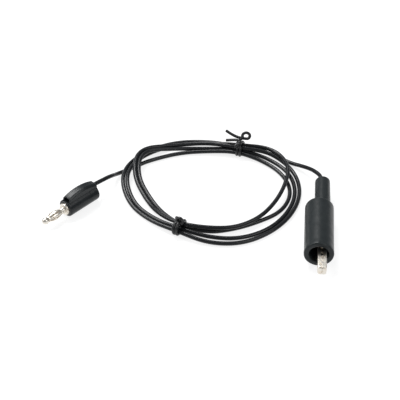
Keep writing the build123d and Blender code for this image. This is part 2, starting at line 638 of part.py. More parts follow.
def make_parts():
    parts = {}
    plug = {
        "plug_core": make_plug_core(),
        "plug_body": make_plug_body(),
        "lantern_spring": make_lantern_spring(),
        "pin_tip": make_pin_tip(),
        "clamp_screw": make_clamp_screw(),
        "plug_conductor": make_plug_conductor(),
    }
    clip = {
        "clip_boot": make_clip_boot(),
        "fixed_jaw": make_fixed_jaw(),
        "moving_jaw": make_moving_jaw(),
        "pivot_rivet": make_pivot_rivet(),
        "jaw_spring": make_jaw_spring(),
        "resistor_body": make_resistor_body(),
        "resistor_front_lead": make_front_lead(),
        "resistor_rear_lead": make_rear_lead(),
        "splice_ferrule": make_splice_ferrule(),
        "shrink_sleeve": make_shrink_sleeve(),
        "clip_conductor": make_clip_conductor(),
    }
    for name, shape in plug.items():
        parts[name] = placed(shape, PLUG_AT, PLUG_HEADING)
    for name, shape in clip.items():
        parts[name] = placed(shape, CLIP_AT, CLIP_HEADING)
    parts["upper_tie"] = make_tie(UPPER_TIE_ANGLE, UPPER_TIE_REACH, UPPER_TIE_ENDS)
    parts["lower_tie"] = make_tie(LOWER_TIE_ANGLE, LOWER_TIE_REACH, LOWER_TIE_ENDS)
    coil = make_coil()
    turns = coil_points()
    plug_side = [PLUG_WIRE_START, PLUG_WIRE_EXIT, *PLUG_SIDE_ROUTE, turns[0]]
    clip_side = [turns[-1], *CLIP_SIDE_ROUTE, CLIP_WIRE_EXIT, CLIP_WIRE_START]
    parts["cord_to_plug"] = make_tube("cord_to_plug", plug_side) - coil
    parts["cord_to_clip"] = make_tube("cord_to_clip", clip_side) - coil
    parts["cord_coil"] = coil - parts["upper_tie"] - parts["lower_tie"]
    return parts


def main():
    os.makedirs("parts", exist_ok=True)
    for name, shape in make_parts().items():
        export_step(shape, "parts/%s.step" % name)


main()
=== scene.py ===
"""Grounding lead: a stackable plug and a booted clip on a coiled cord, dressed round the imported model."""

import json
import math

import bmesh
import bpy
from mathutils import Matrix, Vector, noise


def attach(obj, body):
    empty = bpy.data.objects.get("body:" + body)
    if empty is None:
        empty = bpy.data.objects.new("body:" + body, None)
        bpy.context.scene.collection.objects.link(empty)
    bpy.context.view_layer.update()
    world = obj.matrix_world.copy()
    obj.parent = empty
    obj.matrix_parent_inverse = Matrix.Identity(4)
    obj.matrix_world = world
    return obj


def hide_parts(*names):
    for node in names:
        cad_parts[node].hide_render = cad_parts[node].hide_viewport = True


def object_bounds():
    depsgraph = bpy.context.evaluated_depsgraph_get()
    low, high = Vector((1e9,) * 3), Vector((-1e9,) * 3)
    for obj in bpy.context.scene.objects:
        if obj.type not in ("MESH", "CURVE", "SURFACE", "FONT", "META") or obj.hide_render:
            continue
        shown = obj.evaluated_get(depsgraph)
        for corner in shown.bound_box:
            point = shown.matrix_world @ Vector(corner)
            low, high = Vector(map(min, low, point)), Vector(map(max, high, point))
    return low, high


bl_info = {
    "name": "Grounding Lead",
    "version": (1, 0, 0),
    "blender": (4, 5, 0),
    "location": "View3D > Sidebar > Lead",
    "description": "Builds the visible pieces of a coiled grounding lead round its packed frame",
    "category": "Object",
}

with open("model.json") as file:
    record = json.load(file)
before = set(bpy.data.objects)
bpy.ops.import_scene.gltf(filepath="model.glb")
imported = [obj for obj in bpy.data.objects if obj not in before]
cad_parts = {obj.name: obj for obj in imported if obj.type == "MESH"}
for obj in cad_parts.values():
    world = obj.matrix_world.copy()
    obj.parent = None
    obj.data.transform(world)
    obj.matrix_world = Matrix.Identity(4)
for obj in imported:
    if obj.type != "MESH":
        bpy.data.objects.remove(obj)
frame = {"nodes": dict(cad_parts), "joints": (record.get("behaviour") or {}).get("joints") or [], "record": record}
CAD_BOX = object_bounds()
MM = 0.001


# ---------------------------------------------------------------- where the fittings are
def mount(name):
    return next(m for m in frame["record"]["mounts"] if m["name"] == name)


def joint(name):
    return next(j for j in frame["joints"] if j["name"] == name)


def fitting_frame(point, along, local):
    """Matrix of a fitting's own frame, +X from front to rear, given one of its points in both frames."""
    x = Vector(along).normalized()
    z = Vector((0, 0, 1))
    y = z.cross(x)
    turn = Matrix((x, y, z)).transposed()
    origin = Vector(point) - turn @ Vector(local)
    return Matrix.Translation(origin) @ turn.to_4x4()


SOCKET_MIDDLE = 13.0 * MM
PIVOT = Vector((9.0, -1.55, 0)) * MM
PLUG = fitting_frame(mount("rear_socket")["pos_m"], joint("lantern_spin")["axis"], (SOCKET_MIDDLE, 0, 0))
CLIP = fitting_frame(joint("jaw_hinge")["pos_m"], -Vector(mount("jaw_grip")["axis"]), PIVOT)
PLUG_AXIS = PLUG.to_3x3() @ Vector((1, 0, 0))


# ---------------------------------------------------------------- shader maths
class Value:
    """A number socket of a shader, which takes part in sums."""

    def __init__(self, paint, socket):
        self.paint = paint
        self.socket = socket

    def sum_of(self, operation, *terms):
        sockets = {place: term for place, term in enumerate(terms)}
        made = self.paint.node("ShaderNodeMath", {"operation": operation}, sockets)
        return Value(self.paint, made.outputs[0])

    def __add__(self, other):
        return self.sum_of("ADD", self, other)

    __radd__ = __add__

    def __sub__(self, other):
        return self.sum_of("SUBTRACT", self, other)

    def __rsub__(self, other):
        return self.sum_of("SUBTRACT", other, self)

    def __mul__(self, other):
        return self.sum_of("MULTIPLY", self, other)

    __rmul__ = __mul__

    def sine(self):
        return self.sum_of("SINE", self)

    def between(self, low, high):
        """0 below low, 1 above high, and a smooth rise from one to the other."""
        settings = {"interpolation_type": "SMOOTHSTEP"}
        sockets = {"Value": self, "From Min": low, "From Max": high}
        made = self.paint.node("ShaderNodeMapRange", settings, sockets)
        return Value(self.paint, made.outputs[0])


class Paint:
    """One material, its nodes and its surface shader."""

    def __init__(self, name):
        self.material = bpy.data.materials.new(name)
        self.material.use_nodes = True
        self.tree = self.material.node_tree
        self.surface = self.tree.nodes["Principled BSDF"]
        self.place = self.node("ShaderNodeTexCoord").outputs["Object"]

    def node(self, kind, settings=None, sockets=None):
        """Any node: its settings first, then a value or a link for each socket that is named."""
        made = self.tree.nodes.new(kind)
        for key, value in (settings or {}).items():
            if key == "stops":
                self.set_stops(made.color_ramp, value)
            else:
                setattr(made, key, value)
        for key, value in (sockets or {}).items():
            self.feed(made.inputs[key], value)
        return made

    def set_stops(self, ramp, stops):
        while len(ramp.elements) > len(stops):
            ramp.elements.remove(ramp.elements[-1])
        while len(ramp.elements) < len(stops):
            ramp.elements.new(0.5)
        for element, (position, colour) in zip(ramp.elements, stops):
            element.position = position
            element.color = (*colour, 1.0)

    def feed(self, socket, value):
        if isinstance(value, Value):
            value = value.socket
        if isinstance(value, bpy.types.NodeSocket):
            self.tree.links.new(value, socket)
        elif socket.type == "RGBA":
            socket.default_value = (*value, 1.0)
        else:
            socket.default_value = value

    def set(self, **constants):
        """Constants on the surface shader's own sockets."""
        for key, value in constants.items():
            self.feed(self.surface.inputs[key.replace("_", " ")], value)

    def grain(self, size, detail=2.0, stretch=None, warp=0.0):
        """Noise from 0 to 1 whose features are about size metres across."""
        place = self.place
        if stretch is not None:
            sockets = {"Vector": place, "Scale": stretch}
            place = self.node("ShaderNodeMapping", None, sockets).outputs[0]
        sockets = {"Vector": place, "Scale": 1.0 / size, "Detail": detail, "Distortion": warp}
        return Value(self, self.node("ShaderNodeTexNoise", None, sockets).outputs[0])

    def along(self, axis):
        """Distance in metres along an axis of the frame."""
        settings = {"operation": "DOT_PRODUCT"}
        made = self.node("ShaderNodeVectorMath", settings, {0: self.place, 1: axis})
        return Value(self, made.outputs["Value"])

    def edge(self, low, high):
        """1 on outer edges and 0 elsewhere."""
        made = self.node("ShaderNodeNewGeometry")
        return Value(self, made.outputs["Pointiness"]).between(low, high)

    def hollow(self, low, high):
        """1 in inner corners and 0 elsewhere."""
        return 1.0 - self.edge(low, high)

    def mix(self, share, first, second, way="MIX"):
        settings = {"data_type": "RGBA", "blend_type": way}
        sockets = {0: share, 6: first, 7: second}
        return self.node("ShaderNodeMix", settings, sockets).outputs[2]

    def bump(self, height, depth, under=None):
        """A bump of that depth in metres, over another one if given."""
        sockets = {"Height": height, "Distance": depth, "Strength": 1.0}
        if under is not None:
            sockets["Normal"] = under
        return self.node("ShaderNodeBump", None, sockets).outputs[0]

    def feed_surface(self, colour, roughness, bump, **others):
        self.feed(self.surface.inputs["Base Color"], colour)
        self.feed(self.surface.inputs["Roughness"], roughness)
        self.feed(self.surface.inputs["Normal"], bump)
        for key, value in others.items():
            self.feed(self.surface.inputs[key.replace("_", " ")], value)
        return self.material


# Dark brown painted shade for the inner corners and slits of the turned metal.
CREVICE_SHADE = (0.035, 0.026, 0.018)


def shade(colour, factor):
    return tuple(min(1.0, c * factor) for c in colour)


def cord_jacket(colour):
    """Glossy drawn vinyl with faint flow marks and dust."""
    paint = Paint("cord_jacket")
    flow = paint.grain(2.5 * MM, 3.0)
    dust = paint.grain(0.35 * MM, 4.0).between(0.62, 0.8)
    tone = paint.mix(flow, shade(colour, 0.75), shade(colour, 1.35))
    tone = paint.mix(dust * 0.10, tone, (0.16, 0.165, 0.17))
    paint.set(IOR=1.5, Specular_IOR_Level=0.25, Coat_IOR=1.3, Coat_Roughness=0.12, Coat_Weight=0.25)
    fine = paint.bump(paint.grain(0.5 * MM, 2.0), 0.012 * MM)
    waves = paint.bump(paint.grain(4.0 * MM, 1.0), 0.10 * MM, fine)
    return paint.feed_surface(tone, 0.24 + flow * 0.12 + dust * 0.2, waves)


def tie_vinyl(colour):
    """Glossy vinyl over bent wire, scuffed where it was handled."""
    paint = Paint("tie_vinyl")
    scuff = paint.grain(1.1 * MM, 3.0, warp=0.4)
    tone = paint.mix(scuff.between(0.5, 0.8) * 0.5, colour, (0.075, 0.07, 0.066))
    paint.set(IOR=1.5, Specular_IOR_Level=0.4)
    kinks = paint.bump(paint.grain(0.9 * MM, 2.0), 0.05 * MM)
    return paint.feed_surface(tone, 0.2 + scuff * 0.22, kinks)


def moulded_plastic(name, colour, roughness, spark, worn):
    """Moulded plastic: spark-eroded grain, soft mottling and rubbed edges."""
    paint = Paint(name)
    mottle = paint.grain(3.0 * MM, 3.0)
    fine = paint.grain(spark, 3.0)
    tone = paint.mix(mottle, shade(colour, 0.7), shade(colour, 1.4))
    rubbed = paint.edge(0.51, 0.56) * worn * paint.grain(0.8 * MM, 3.0).between(0.35, 0.65)
    tone = paint.mix(rubbed, tone, (0.11, 0.112, 0.115))
    paint.set(IOR=1.5, Specular_IOR_Level=0.22)
    low = paint.bump(mottle, 0.06 * MM)
    skin = paint.bump(fine, 0.012 * MM, low)
    return paint.feed_surface(tone, roughness + mottle * 0.12 - rubbed * 0.1, skin)


def boot_vinyl(colour):
    """Soft dipped vinyl: fine bloom, faint draw lines along the boot and a slightly wavy skin."""
    paint = Paint("boot_vinyl")
    bloom = paint.grain(2.2 * MM, 4.0, warp=0.3)
    specks = paint.grain(0.25 * MM, 3.0).between(0.64, 0.78)
    lines = paint.grain(0.9 * MM, 2.0, stretch=(1.0, 0.06, 1.0))
    tone = paint.mix(bloom, shade(colour, 0.75), shade(colour, 1.5))
    tone = paint.mix(lines * 0.25, tone, shade(colour, 2.0))
    tone = paint.mix(specks * 0.2, tone, (0.13, 0.135, 0.14))
    paint.set(IOR=1.48, Specular_IOR_Level=0.2, Coat_IOR=1.25, Coat_Roughness=0.15, Coat_Weight=0.3)
    wavy = paint.bump(paint.grain(5.0 * MM, 1.0), 0.25 * MM)
    drawn = paint.bump(lines, 0.02 * MM, wavy)
    skin = paint.bump(paint.grain(0.22 * MM, 2.0), 0.006 * MM, drawn)
    return paint.feed_surface(tone, 0.36 + bloom * 0.14 + specks * 0.1, skin)


def turned_metal(name, colour, tarnish, axis, pitch):
    """Plated metal off a lathe: fine tool lines across the axis, warm stains in patches, and painted shade
    darkening the inner corners.
    """
    paint = Paint(name)
    where = paint.along(axis)
    wander = paint.grain(1.2 * MM, 2.0)
    tool = (where * (2 * math.pi / pitch) + wander * 3.0).sine() * 0.5 + 0.5
    stain = paint.grain(2.4 * MM, 3.0, warp=0.4).between(0.5, 0.8)
    tone = paint.mix(stain, colour, tarnish)
    tone = paint.mix(tool * 0.12, tone, shade(colour, 0.6))
    # Painted shade: inner corners and slits are darkened towards dark brown in place of the shade that falls
    # there.
    tone = paint.mix(paint.hollow(0.40, 0.47) * 0.8, tone, CREVICE_SHADE)
    paint.set(Metallic=1.0)
    lines = paint.bump(tool, 0.002 * MM)
    dents = paint.bump(paint.grain(1.6 * MM, 1.0), 0.006 * MM, lines)
    return paint.feed_surface(tone, 0.3 + stain * 0.16 + tool * 0.06, dents)


def pressed_metal(colour, tarnish):
    """Nickel-plated pressed sheet: long scratches, brassy where the plate has worn."""
    paint = Paint("jaw_metal")
    scratch = paint.grain(0.16 * MM, 3.0, stretch=(1.0, 0.08, 1.0)).between(0.52, 0.7)
    cloud = paint.grain(1.8 * MM, 4.0, warp=0.5)
    worn = paint.edge(0.505, 0.54) * cloud.between(0.45, 0.7)
    tone = paint.mix(cloud.between(0.45, 0.8) * 0.35, colour, tarnish)
    tone = paint.mix(worn * 0.4, tone, (0.55, 0.36, 0.16))
    tone = paint.mix(scratch * 0.3, tone, shade(colour, 0.55))
    paint.set(Metallic=1.0)
    skin = paint.bump(scratch, 0.008 * MM)
    press = paint.bump(paint.grain(1.0 * MM, 2.0), 0.05 * MM, skin)
    return paint.feed_surface(tone, 0.22 + cloud * 0.2 + scratch * 0.1, press)


def inner_finish(name, colour, metallic, roughness):
    """Finish of a piece inside the lead: uneven tone and a fine skin."""
    paint = Paint(name)
    cloud = paint.grain(0.9 * MM, 3.0)
    fine = paint.grain(0.15 * MM, 2.0)
    tone = paint.mix(cloud, shade(colour, 0.7), shade(colour, 1.2))
    paint.set(Metallic=metallic)
    return paint.feed_surface(tone, roughness + cloud * 0.15, paint.bump(fine, 0.008 * MM))


# ---------------------------------------------------------------- mesh work
def add_piece(name, data, material, body, *nodes, slot=None):
    """Link a piece, dress it, hide the nodes it stands for, and let it ride on its body."""
    piece = bpy.data.objects.new(name, data)
    bpy.context.scene.collection.objects.link(piece)
    data.materials.clear()
    data.materials.append(material)
    if nodes:
        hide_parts(*nodes)
    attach(piece, body)
    return piece


def smooth_mesh(mesh, degrees=35):
    mesh.shade_smooth()
    mesh.set_sharp_from_angle(angle=math.radians(degrees))
    return mesh


def rings_mesh(name, rings, place, count=96, shape=None):
    """A closed skin over rings (x, radius, sideways shift) in millimetres; the last joins the first."""
    bm = bmesh.new()
    loops = []
    for x, radius, shift in rings:
        loop = []
        for step in range(count):
            angle = 2 * math.pi * step / count
            point = Vector((x, shift + radius * math.cos(angle), radius * math.sin(angle)))
            if shape is not None:
                point = shape(point, angle, shift)
            loop.append(bm.verts.new(place @ (point * MM)))
        loops.append(loop)
    for first, second in zip(loops, loops[1:] + loops[:1]):
        for step in range(count):
            after = (step + 1) % count
            bm.faces.new((first[step], second[step], second[after], first[after]))
    bmesh.ops.recalc_face_normals(bm, faces=bm.faces)
    mesh = bpy.data.meshes.new(name)
    bm.to_mesh(mesh)
    bm.free()
    return smooth_mesh(mesh)


def capped_mesh(name, rings, place, count=48):
    """A solid of revolution from (x, radius) rings in millimetres, closed by a point at each end."""
    bm = bmesh.new()
    ends = [bm.verts.new(place @ (Vector((x, 0, 0)) * MM)) for x in (rings[0][0], rings[-1][0])]
    loops = []
    for x, radius in rings[1:-1]:
        turn = [2 * math.pi * step / count for step in range(count)]
        points = [Vector((x, radius * math.cos(a), radius * math.sin(a))) * MM for a in turn]
        loops.append([bm.verts.new(place @ p) for p in points])
    for step in range(count):
        after = (step + 1) % count
        bm.faces.new((ends[0], loops[0][step], loops[0][after]))
        bm.faces.new((ends[1], loops[-1][after], loops[-1][step]))
        for first, second in zip(loops, loops[1:]):
            bm.faces.new((first[step], second[step], second[after], first[after]))
    bmesh.ops.recalc_face_normals(bm, faces=bm.faces)
    mesh = bpy.data.meshes.new(name)
    bm.to_mesh(mesh)
    bm.free()
    return smooth_mesh(mesh)


def arc(cx, cr, radius, start, end, steps):
    """Points (x, r) of an arc in a profile, from start to end degrees."""
    turns = [math.radians(start + (end - start) * step / steps) for step in range(steps + 1)]
    return [(cx + radius * math.cos(t), cr + radius * math.sin(t)) for t in turns]


def evaluated(piece):
    """The piece's mesh with its modifiers applied."""
    graph = bpy.context.evaluated_depsgraph_get()
    return bpy.data.meshes.new_from_object(piece.evaluated_get(graph))


def softened(node, voxel, passes):
    """A node's shape with every edge rounded as a mould rounds it."""
    bm = bmesh.new()
    bm.from_mesh(frame["nodes"][node].data)
    bmesh.ops.remove_doubles(bm, verts=bm.verts, dist=0.001 * MM)
    mesh = bpy.data.meshes.new(node)
    bm.to_mesh(mesh)
    bm.free()
    work = bpy.data.objects.new("work", mesh)
    bpy.context.scene.collection.objects.link(work)
    remesh = work.modifiers.new("remesh", "REMESH")
    remesh.mode = "VOXEL"
    remesh.voxel_size = voxel
    smooth = work.modifiers.new("smooth", "SMOOTH")
    smooth.factor = 0.5
    smooth.iterations = passes
    mesh = evaluated(work)
    bpy.data.objects.remove(work)
    mesh.shade_smooth()
    return mesh


def wire_curve(name, points, diameter, sides=5, rows=10):
    """A round wire as one open smooth spline over its control points, in metres."""
    curve = bpy.data.curves.new(name, "CURVE")
    curve.dimensions = "3D"
    curve.bevel_depth = diameter / 2
    curve.bevel_resolution = sides
    curve.resolution_u = rows
    curve.use_fill_caps = True
    spline = curve.splines.new("NURBS")
    spline.points.add(len(points) - 1)
    for slot, point in zip(spline.points, points):
        slot.co = (*point, 1.0)
    spline.order_u = 3
    spline.use_endpoint_u = True
    spline.use_smooth = True
    return curve


# ---------------------------------------------------------------- the cord's route, in millimetres
COIL_MIDDLE = (11.9, 33.65)
UPPER_TIE_ANGLE = 67.0
LOWER_TIE_ANGLE = -116.6
RIGHT_STEPS = 8
LEFT_STEPS = 7
RIGHT_HALVES = (
    ((37.6, 41.0, 42.4, 40.0, 34.2, 32.4, 33.6), (1.6, 1.2, 1.15, 1.15, 1.15, 1.15, 1.6)),
    ((41.4, 44.9, 44.8, 43.2, 42.2, 40.4, 37.2), (1.5, 1.2, 1.15, 1.15, 1.15, 1.2, 1.7)),
    ((47.2, 45.2, 38.0, 34.6, 34.2, 34.0, 33.0), (4.6, 5.4, 4.2, 3.3, 3.4, 3.5, 4.2)),
    ((44.0, 47.8, 47.2, 45.6, 44.6, 44.2, 41.6), (4.0, 1.4, 1.15, 1.15, 1.15, 1.2, 1.7)),
)
LEFT_HALVES = (
    ((31.2, 32.4, 40.0, 47.9, 39.0, 36.0), (1.4, 1.2, 4.6, 6.2, 2.8, 1.9)),
    ((37.4, 42.2, 47.0, 47.6, 45.2, 40.6), (1.5, 1.2, 4.6, 2.4, 1.2, 2.4)),
    ((33.6, 34.8, 42.4, 50.2, 41.4, 38.4), (2.3, 1.2, 4.8, 6.4, 3.6, 4.0)),
    ((39.8, 44.6, 49.4, 50.0, 47.8, 43.0), (1.5, 1.2, 4.3, 1.8, 1.2, 1.7)),
)
UPPER_PASSES = ((34.6, 3.0), (37.0, 3.0), (38.3, 5.1), (35.9, 5.1), (39.4, 3.0))
LOWER_PASSES = ((33.4, 3.0), (35.8, 3.0), (34.6, 5.1), (38.2, 3.0))
LEAD_IN = ((42.8, 37.2, 33.6), (1.15, 1.2, 1.9))
LEAD_OUT = ((45.6,), (1.9,))
PLUG_SIDE_ROUTE = ((-41.6, 38.4, 7.25), (-37.9, 48.4, 1.15), (-28.9, 54.5, 1.15))
CLIP_SIDE_ROUTE = ((54.1, 57.8, 1.2), (61.3, 51.8, 3.4), (66.3, 44.6, 6.4))
PLUG_WIRE_START = (12.4, 0, 4.75)
PLUG_WIRE_EXIT = (22.8, 0, 3.66)
CLIP_WIRE_EXIT = (60.3, -1.55, 0)
CLIP_WIRE_START = (52.9, -1.55, 0)


def coil_point(angle, reach, height):
    turn = math.radians(angle)
    x = COIL_MIDDLE[0] + reach * math.cos(turn)
    y = COIL_MIDDLE[1] + reach * math.sin(turn)
    return Vector((x, y, height)) * MM


def coil_points():
    """Centres of the cord through its turns, clockwise from the upper tie."""
    right_step = (LOWER_TIE_ANGLE - UPPER_TIE_ANGLE) / RIGHT_STEPS
    left_step = (UPPER_TIE_ANGLE - 360 - LOWER_TIE_ANGLE) / LEFT_STEPS
    entry = 360 + LOWER_TIE_ANGLE + (LEFT_STEPS - len(LEAD_IN[0])) * left_step
    points = []
    for step, (reach, height) in enumerate(zip(*LEAD_IN)):
        points.append(coil_point(entry + step * left_step, reach, height))
    for turn, (right, left) in enumerate(zip(RIGHT_HALVES, LEFT_HALVES)):
        points.append(coil_point(UPPER_TIE_ANGLE, *UPPER_PASSES[turn]))
        for step, (reach, height) in enumerate(zip(*right), start=1):
            points.append(coil_point(UPPER_TIE_ANGLE + step * right_step, reach, height))
        points.append(coil_point(LOWER_TIE_ANGLE, *LOWER_PASSES[turn]))
        for step, (reach, height) in enumerate(zip(*left), start=1):
            points.append(coil_point(LOWER_TIE_ANGLE + step * left_step, reach, height))
    points.append(coil_point(UPPER_TIE_ANGLE, *UPPER_PASSES[-1]))
    for step, (reach, height) in enumerate(zip(*LEAD_OUT), start=1):
        points.append(coil_point(UPPER_TIE_ANGLE + step * right_step, reach, height))
    return points


def in_row(place, local):
    return place @ (Vector(local) * MM)


def cord_route():
    start = [in_row(PLUG, PLUG_WIRE_START), in_row(PLUG, PLUG_WIRE_EXIT)]
    start += [Vector(p) * MM for p in PLUG_SIDE_ROUTE]
    end = [Vector(p) * MM for p in CLIP_SIDE_ROUTE]
    end += [in_row(CLIP, CLIP_WIRE_EXIT), in_row(CLIP, CLIP_WIRE_START)]
    return start + coil_points() + end


# ---------------------------------------------------------------- ties, in millimetres in their own frames
UPPER_TIE_REACH = 37.0
LOWER_TIE_REACH = 35.8
BUNDLE_CENTRE = (0.0, 3.95)
BUNDLE_HALF = (4.3, 3.1)
SQUARENESS = 2.6
WRAP_TURNS = 2
TWIST_RADIUS = 0.62
TWIST_TURNS = 1.25
TWIST_PHASE = 0.4


def tie_frame(angle, reach):
    """Frame of a tie: X clockwise along the bundle, Y outward, Z up."""
    turn = Matrix.Rotation(math.radians(angle - 90), 4, "Z")
    return Matrix.Translation(coil_point(angle, reach, 0)) @ turn


def wraps(along, centre, half, count, start, per_turn=12):
    """Control points of turns round a bundle, in the tie's frame, advancing along it."""
    points = []
    steps = count * per_turn
    for step in range(steps + 1):
        turn = start - 2 * math.pi * step / per_turn
        x = along[0] + (along[1] - along[0]) * step / steps
        c, s = math.cos(turn), math.sin(turn)
        square = (abs(c) ** SQUARENESS + abs(s) ** SQUARENESS) ** (-1 / SQUARENESS)
        points.append((x, centre[0] + half[0] * c * square, centre[1] + half[1] * s * square))
    return points


def twist(start, end, radius, turns, phase, steps):
    """One strand of a twisted pair between two points, in the tie's frame."""
    a, b = Vector(start), Vector(end)
    run = b - a
    side = run.cross(Vector((0, 1, 0))).normalized()
    other = run.normalized().cross(side)
    points = []
    for step in range(steps + 1):
        t = step / steps
        turn = phase + 2 * math.pi * turns * t
        offset = side * math.cos(turn) + other * math.sin(turn)
        points.append(tuple(a + run * t + offset * radius))
    return points


STEM_FOOT = (1.6, -2.6, 7.8)
STEM_TOP = (1.2, 1.3, 8.5)
EYE_MIDDLE = Vector((3.4, 4.0, 10.2))
EYE_RIGHT = Vector((0.92, 0.39, 0))
EYE_UP = Vector((-0.20, 0.50, 0.66))
EYE_REACH = 2.1


def eye_points(start, end, steps):
    turns = [math.radians(start + (end - start) * step / steps) for step in range(steps + 1)]
    across = [EYE_RIGHT * math.cos(t) + EYE_UP * math.sin(t) for t in turns]
    return [tuple(EYE_MIDDLE + a * EYE_REACH) for a in across]


def upper_tie_points():
    tail = [(-6.7, 0.3, 6.9), (-3.4, 0.5, 7.9), (-0.9, 0.6, 8.6)]
    down = twist(STEM_TOP, STEM_FOOT, TWIST_RADIUS, TWIST_TURNS, TWIST_PHASE, 8)[2:]
    round_bundle = wraps((-0.3, 3.1), BUNDLE_CENTRE, BUNDLE_HALF, WRAP_TURNS, math.radians(135))
    up = twist(STEM_FOOT, STEM_TOP, TWIST_RADIUS, TWIST_TURNS, TWIST_PHASE + math.pi + 2.5 * math.pi, 8)
    eye = eye_points(215, -75, 9)
    end = [(-2.6, 2.2, 9.1), (-8.3, 4.0, 10.4)]
    return tail + down + round_bundle + up + eye + end


def lower_tie_points():
    loop_middle = Vector((0.2, -0.6, 8.2))
    turns = [math.radians(a) for a in range(-60, 300, 45)]
    loop = [tuple(loop_middle + Vector((1.5 * math.cos(t), 0.3, 1.35 * math.sin(t)))) for t in turns]
    round_bundle = wraps((2.0, -1.2), BUNDLE_CENTRE, BUNDLE_HALF, WRAP_TURNS, math.radians(75))
    end = [(-1.4, -1.0, 7.6), (0.8, -1.9, 7.7), (3.4, -2.2, 7.3)]
    return list(reversed(loop)) + round_bundle + end


# ---------------------------------------------------------------- the plug
LANTERN_BACK = -2.65
LANTERN_LENGTH = 9.2
LANTERN_BORE = 1.25
LANTERN_BELLY = 2.35
LANTERN_RING = 0.9
LANTERN_SLIT = 0.5
LANTERN_SHEET = 0.25
LANTERN_LEAVES = 6
TIP_MIDDLE = -13.35
TIP_RADIUS = 1.75


def lantern_radius(x):
    """Outer radius of the sprung sheet at a distance from its rear, in millimetres."""
    free = LANTERN_LENGTH - 2 * LANTERN_RING
    t = (x - LANTERN_RING) / free
    t = min(1.0, max(0.0, t))
    edge = LANTERN_BORE + LANTERN_SHEET
    return edge + (LANTERN_BELLY - edge) * math.sin(math.pi * t) ** 0.85


def lantern_mesh():
    """Six leaves between two rings, with parallel-sided slits, as one sheet with thickness."""
    rows = 34
    columns = 8
    bm = bmesh.new()
    grid = []
    for row in range(rows + 1):
        x = LANTERN_LENGTH * row / rows
        radius = lantern_radius(x)
        slit = LANTERN_SLIT / radius
        leaf = 2 * math.pi / LANTERN_LEAVES
        line = []
        for number in range(LANTERN_LEAVES):
            for column in range(columns):
                angle = number * leaf + slit / 2 + (leaf - slit) * column / (columns - 1)
                crown = 0.06 * math.sin(math.pi * column / (columns - 1)) * (radius > 1.55)
                reach = radius + crown
                point = Vector((LANTERN_BACK - x, reach * math.cos(angle), reach * math.sin(angle)))
                line.append(bm.verts.new(PLUG @ (point * MM)))
        grid.append(line)
    around = LANTERN_LEAVES * columns
    for row in range(rows):
        middle = LANTERN_LENGTH * (row + 0.5) / rows
        open_here = LANTERN_RING < middle < LANTERN_LENGTH - LANTERN_RING
        for column in range(around):
            if open_here and column % columns == columns - 1:
                continue
            after = (column + 1) % around
            corners = (grid[row][column], grid[row][after], grid[row + 1][after], grid[row + 1][column])
            bm.faces.new(corners)
    bmesh.ops.recalc_face_normals(bm, faces=bm.faces)
    mesh = bpy.data.meshes.new("lantern")
    bm.to_mesh(mesh)
    bm.free()
    work = bpy.data.objects.new("work", mesh)
    bpy.context.scene.collection.objects.link(work)
    sheet = work.modifiers.new("sheet", "SOLIDIFY")
    sheet.thickness = LANTERN_SHEET * MM
    sheet.offset = -1
    edges = work.modifiers.new("edges", "BEVEL")
    edges.width = 0.05 * MM
    edges.segments = 2
    edges.limit_method = "ANGLE"
    edges.angle_limit = math.radians(50)
    mesh = evaluated(work)
    bpy.data.objects.remove(work)
    return smooth_mesh(mesh, 45)


def tip_mesh():
    """Ball riveted on the end of the spine, with a flat back and a small dimple in front."""
    ball = arc(TIP_MIDDLE, 0, TIP_RADIUS, 34, 168, 18)
    rings = [(ball[0][0], 0.0), (ball[0][0], 0.7), (ball[0][0], ball[0][1] - 0.08)]
    rings += ball
    nose = TIP_MIDDLE - TIP_RADIUS
    rings += [(nose + 0.06, 0.28), (nose + 0.16, 0.2), (nose + 0.2, 0.1), (nose + 0.2, 0.0)]
    return capped_mesh("pin_tip", rings, PLUG)


# ---------------------------------------------------------------- the boot
BOOT_RADIUS = 7.3
BOOT_LIP = 7.38
BOOT_LENGTH = 35.5
BOOT_BORE = 4.8
BORE_DEPTH = 28.0
TAIL_SHIFT = -1.55
TAIL_END = 57.5
SKIN_SEED = 11.0


